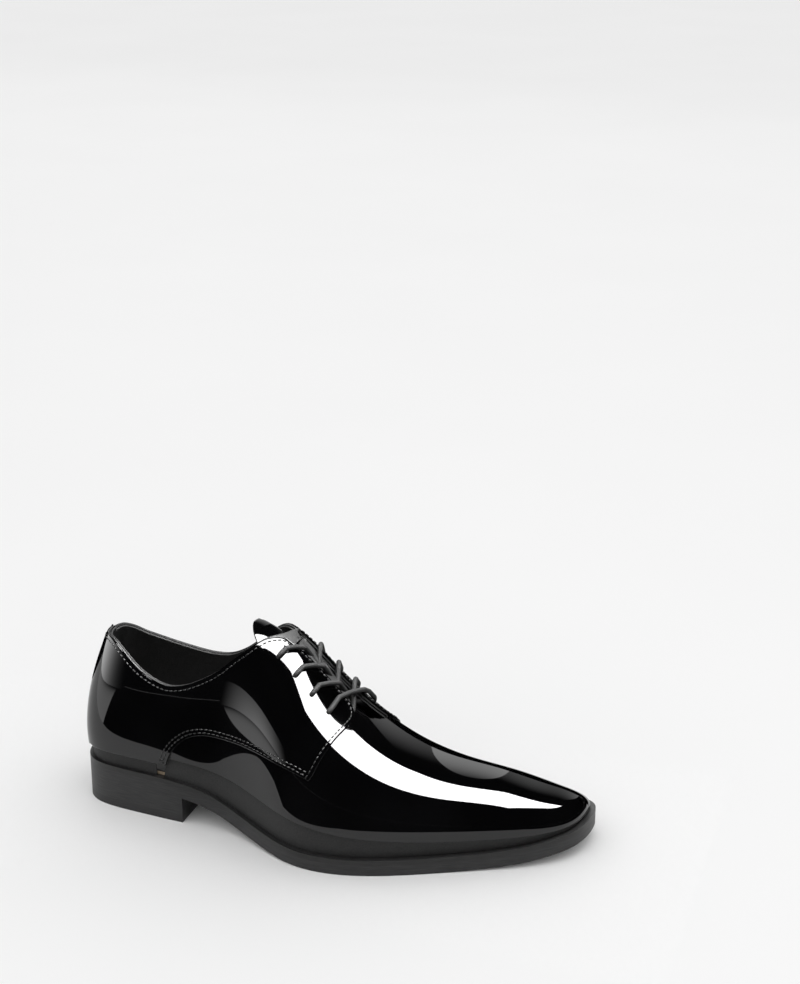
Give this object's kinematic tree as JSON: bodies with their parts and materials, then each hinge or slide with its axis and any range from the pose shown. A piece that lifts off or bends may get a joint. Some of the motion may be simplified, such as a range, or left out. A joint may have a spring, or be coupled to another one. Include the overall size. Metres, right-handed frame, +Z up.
{
  "type": "derby shoe",
  "caption": "Right plain-toe derby dress shoe in black patent leather, open-laced over a tongue, on a welted sole with a stacked heel.",
  "frame": {"origin": "middle of the heel's resting face, on the ground", "axes": "+X from the heel towards the toe, +Y to the medial (inner) side, +Z up"},
  "size_m": [0.3027, 0.1133, 0.1179],
  "materials": {
    "patent": "black patent leather, mirror gloss",
    "lining": "black lining leather, matt",
    "backing": "black split leather, matt",
    "interlining": "woven cotton interlining",
    "stiffener": "resin-stiffened fibre board",
    "sole_edge": "stacked leather, ink-black edge, satin",
    "heel_rubber": "moulded rubber, satin",
    "cork": "cork filler",
    "insole_board": "insole leather, natural",
    "steel": "bright steel",
    "eyelet": "black-lacquered brass",
    "lace": "waxed cotton cord, black",
    "tag": "black film tag"
  },
  "bodies": {
    "shoe": {"outsole": "sole_edge", "welt": "sole_edge", "bottom_filler": "cork", "shank": "steel", "insole_board": "insole_board", "sock_lining": "lining", "heel_top_piece": "heel_rubber", "heel_lift_1": "sole_edge", "heel_lift_2": "sole_edge", "heel_lift_3": "sole_edge", "heel_nails": "steel", "top_piece_nails": "steel", "quarter_lateral": "patent", "quarter_medial": "patent", "vamp": "patent", "backstay": "patent", "quarter_backing_lateral": "backing", "quarter_backing_medial": "backing", "quarter_interlining_lateral": "interlining", "quarter_interlining_medial": "interlining", "vamp_interlining": "interlining", "toe_puff": "stiffener", "heel_counter": "stiffener", "quarter_lining_lateral": "lining", "quarter_lining_medial": "lining", "vamp_lining": "lining", "eyelets_lateral": "eyelet", "eyelets_medial": "eyelet", "tongue_root": "lining", "lace": "lace", "lace_tags": "tag"},
    "tongue": {"tongue": "patent", "tongue_lining": "lining"}
  },
  "joints": [
    {"name": "tongue_hinge", "type": "hinge", "parent": "shoe", "child": "tongue", "pos_m": [0.146, 0.003, 0.0568], "axis": [0, -1, 0], "range_deg": [0, 7]}
  ]
}
